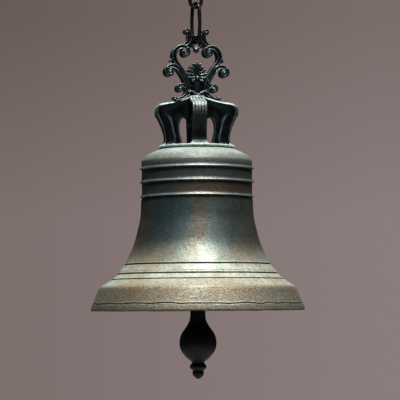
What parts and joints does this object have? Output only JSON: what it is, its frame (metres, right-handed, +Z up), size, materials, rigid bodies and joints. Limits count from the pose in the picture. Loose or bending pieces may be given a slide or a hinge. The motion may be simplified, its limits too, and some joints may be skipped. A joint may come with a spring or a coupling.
{
  "type": "hanging bronze bell",
  "caption": "Cast bronze bell with ribbed shoulder, four-arm crown and scroll finial, hung on oval chain links from a round ceiling plate, with a swinging iron clapper.",
  "frame": {"origin": "centre of the ceiling plate's top face, the face that meets the ceiling or beam; everything hangs below it", "axes": "+Z up along the bell's axis; +X along the crown's side arms, to the viewer's right seen from the front (from -Y)"},
  "size_m": [0.3, 0.3, 0.6182],
  "materials": {
    "bell_bronze": "sand-cast bronze with green and brown patina",
    "dark_bronze": "near-black patinated bronze, pale green on high edges",
    "clapper_iron": "blackened iron",
    "chain_steel": "dark oxidised steel",
    "fitting_iron": "blackened iron",
    "zinc_steel": "dulled zinc plate",
    "bush_brass": "turned brass",
    "pad_leather": "dark pressed leather"
  },
  "bodies": {
    "ceiling_fitting": {"ceiling_plate": "fitting_iron", "ceiling_eye": "chain_steel", "ceiling_lock_nut": "zinc_steel"},
    "upper_chain": {"upper_link": "chain_steel"},
    "lower_chain": {"hanger_link": "chain_steel"},
    "bell_body": {"scroll_finial": "dark_bronze", "crown": "dark_bronze", "crown_gasket": "pad_leather", "bell_shell": "bell_bronze", "clapper_fork": "clapper_iron", "shank_washer": "zinc_steel", "shank_nut": "zinc_steel", "clapper_pin": "zinc_steel", "clapper_pin_nut": "zinc_steel", "side_washer_front": "bush_brass", "side_washer_back": "bush_brass", "crown_bolt_1": "zinc_steel", "crown_bolt_2": "zinc_steel", "crown_bolt_3": "zinc_steel", "crown_bolt_4": "zinc_steel", "crown_bolt_washer_1": "zinc_steel", "crown_bolt_washer_2": "zinc_steel", "crown_bolt_washer_3": "zinc_steel", "crown_bolt_washer_4": "zinc_steel"},
    "clapper_body": {"clapper": "clapper_iron", "clapper_bush": "bush_brass"}
  },
  "joints": [
    {"name": "upper_link_swing", "type": "hinge", "parent": "ceiling_fitting", "child": "upper_chain", "pos_m": [0, 0, -0.0436], "axis": [0.1736, -0.9848, 0], "range_deg": [-35, 35]},
    {"name": "hanger_link_swing", "type": "hinge", "parent": "upper_chain", "child": "lower_chain", "pos_m": [0, 0, -0.0936], "axis": [0.9848, 0.1736, 0], "range_deg": [-35, 35]},
    {"name": "bell_swing", "type": "hinge", "parent": "lower_chain", "child": "bell_body", "pos_m": [0, 0, -0.1441], "axis": [0.515, -0.8572, 0], "range_deg": [-12, 12]},
    {"name": "clapper_swing", "type": "hinge", "parent": "bell_body", "child": "clapper_body", "pos_m": [0, 0, -0.3483], "axis": [0, 1, 0], "range_deg": [-31, 31]}
  ]
}
